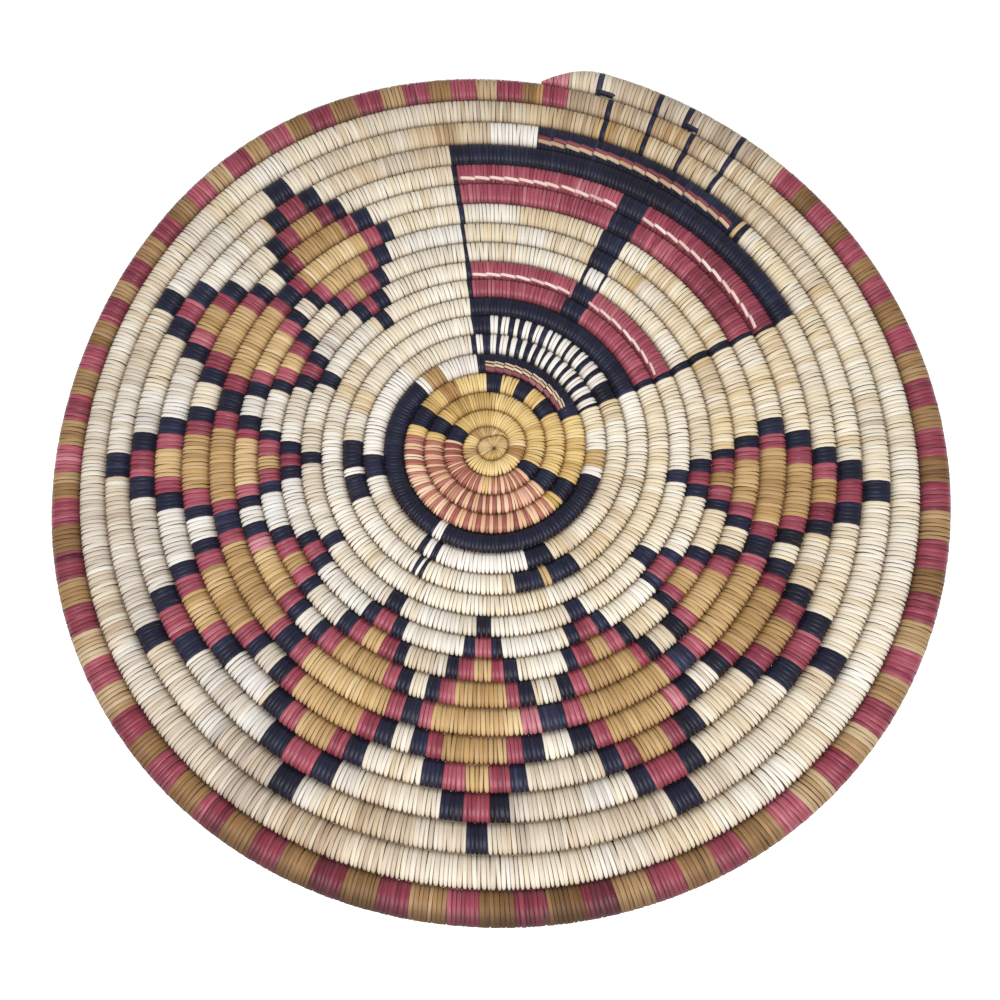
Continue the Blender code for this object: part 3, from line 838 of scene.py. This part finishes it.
def overlay_sheets(first, last, length, lean, lines):
    """The stitches of an overlay's lines: along the coil by across it. Each rises out of the sewing, runs
    flat and goes in again, a little outwards at its far end."""
    middle = (first + last) / 2
    whole = 2 * np.pi * middle_radius(middle) * (last - first)
    count = max(1, int(round(whole / length)))
    half_width = (plain_radius(middle + 1) - plain_radius(middle)) / 2
    along = np.linspace(-OVERLAY_LAP_SHARE, 1 + OVERLAY_LAP_SHARE, OVERLAY_ROWS)[None, ::-1, None]
    column = OVERLAY_COLUMNS[None, None, :]
    starts = (np.arange(count) + rng.normal(0, OVERLAY_START_SPREAD, count))[:, None, None]
    turns = np.clip(first + (last - first) * (starts + along) / count, first, last) + 0 * column
    sheets = []
    for place, width in lines:
        slant = lean * (along - 0.5)
        wobble = rng.normal(0, OVERLAY_WOBBLE, (count, 1, 1))
        across = place + slant + wobble + column * width / 2 / half_width
        rise = 1 - np.abs(2 * np.clip(along, 0, 1) - 1) ** OVERLAY_END_POWER
        lift = OVERLAY_LIFT * ((1 + OVERLAY_SINK) * rise - OVERLAY_SINK)
        lift = lift - OVERLAY_LIFT * (np.abs(column) > EDGE_COLUMN)
        height = (1 - np.abs(across) ** ROUNDNESS).clip(0) ** (1 / ROUNDNESS)
        height = height + lift / half_height(np.array(middle))
        sheets.append(coil_point(turns, across + 0 * turns, height + 0 * turns))
    return np.concatenate(sheets)


def lay_overlay(name, node, letter, first, last, length, tone, lean, lines):
    """One overlay's stitches as a piece."""
    strips = overlay_sheets(first, last, length, lean, lines)
    _, material, slot = SPLINTS[letter]
    # The first and last rows of each overlay stitch, where it goes into the sewing, get painted shade
    grid_piece(
        name, strips, material, slot, [node],
        tone=(tone + rng.normal(0, OVERLAY_TONE_SPREAD, len(strips)))[:, None, None],
        warmth=np.ones((1, 1, 1)),
        deep=OVERLAY_END_SHADE * np.isin(np.arange(OVERLAY_ROWS), (0, OVERLAY_ROWS - 1))[None, :, None],
    )


for name, overlay in OVERLAYS.items():
    lay_overlay(f"{name}_strips", name, *overlay)
for side, (first, last) in SEAM_STEPS.items():
    lay_overlay(
        f"navy_seam_step_{side}", "sewn_turn_19", "k", first, last,
        SEAM_STEP_LENGTH, SEAM_STEP_TONE, SEAM_STEP_SLANT, SEAM_STEP_LINES,
    )


# The studio: a pale floor, one soft lamp from the near side and an even white room
FLOOR_COLOUR = "#F4F4F4"
FLOOR_SIZE = 6.0
FLOOR_DROP = 0.0002
FLOOR_GLOW = 0.45
LAMP_PLACE = (-0.03, -0.62, 0.92)
LAMP_SIZE = 0.7
LAMP_POWER = 8.9
ROOM_LIGHT = 0.56


def white_paper():
    """Matt white paper, which shows plain white to the camera and keeps the soft shadow."""
    material = bpy.data.materials.new("white_paper")
    material.use_nodes = True
    tree = material.node_tree
    tree.nodes.clear()
    rays = add_node(tree, "ShaderNodeLightPath")
    seen = add_node(
        tree, "ShaderNodeMath", {0: rays.outputs["Is Camera Ray"], 1: rays.outputs["Is Glossy Ray"]},
        operation="MAXIMUM",
    )
    glow = add_node(
        tree, "ShaderNodeMath", {0: seen.outputs[0], 1: rays.outputs["Is Transmission Ray"]},
        operation="MAXIMUM",
    )
    strength = add_node(tree, "ShaderNodeMath", {0: glow.outputs[0]}, {1: FLOOR_GLOW}, operation="MULTIPLY")
    shader = add_node(
        tree, "ShaderNodeBsdfPrincipled", {"Emission Strength": strength.outputs[0]},
        {"Base Color": linear(FLOOR_COLOUR), "Roughness": 0.9, "Emission Color": (1, 1, 1, 1)},
    )
    add_node(tree, "ShaderNodeOutputMaterial", {"Surface": shader.outputs[0]})
    return material


def build_studio():
    """The floor, the lamp and the room's light."""
    corners = np.array([(-1, -1, 0), (1, -1, 0), (1, 1, 0), (-1, 1, 0)]) * FLOOR_SIZE / 2
    mesh = bpy.data.meshes.new("floor")
    mesh.from_pydata(corners - (0, 0, FLOOR_DROP), [], [(0, 1, 2, 3)])
    mesh.materials.append(white_paper())
    floor = bpy.data.objects.new("floor", mesh)
    bpy.context.scene.collection.objects.link(floor)

    lamp = bpy.data.lights.new("key_lamp", "AREA")
    lamp.shape = "DISK"
    lamp.size = LAMP_SIZE
    lamp.energy = LAMP_POWER
    key = bpy.data.objects.new("key_lamp", lamp)
    key.matrix_world = facing(LAMP_PLACE, (0, 0, 0))
    bpy.context.scene.collection.objects.link(key)

    world = bpy.data.worlds.new("studio_room")
    world.use_nodes = True
    background = world.node_tree.nodes["Background"]
    background.inputs["Color"].default_value = (1, 1, 1, 1)
    background.inputs["Strength"].default_value = ROOM_LIGHT
    bpy.context.scene.world = world


def facing(place, target):
    """A matrix at the place whose -Z axis looks at the target."""
    back = np.array(place, dtype=float) - target
    back /= np.linalg.norm(back)
    right = np.cross((0, 1, 0), back)
    right /= np.linalg.norm(right)
    turned = np.eye(4)
    turned[:3, :3] = np.column_stack([right, np.cross(back, right), back])
    turned[:3, 3] = place
    return Matrix(turned.tolist())


# The camera stands where the photograph was taken from, by the same fit: the plaque is seen from 18 degrees
# off straight above, on the near side, with a slight lean to the right
CAMERA_TILT = 17.7985
CAMERA_LEAN = 0.5701
CAMERA_PLACE = (0.00476, -0.17771, 0.48890)
CAMERA_SENSOR = 36
CAMERA_LENS = 41.82


def build_camera():
    """The camera at its place, tilted back and then leaned."""
    camera = bpy.data.objects.new("camera", bpy.data.cameras.new("camera"))
    camera.data.sensor_width = CAMERA_SENSOR
    camera.data.lens = CAMERA_LENS
    lean = Matrix.Rotation(np.radians(CAMERA_LEAN), 4, "Y")
    tilt = Matrix.Rotation(np.radians(CAMERA_TILT), 4, "X")
    camera.matrix_world = Matrix.Translation(CAMERA_PLACE) @ lean @ tilt
    bpy.context.scene.collection.objects.link(camera)
    bpy.context.scene.camera = camera


build_studio()
build_camera()
bpy.context.scene.view_settings.view_transform = "Standard"
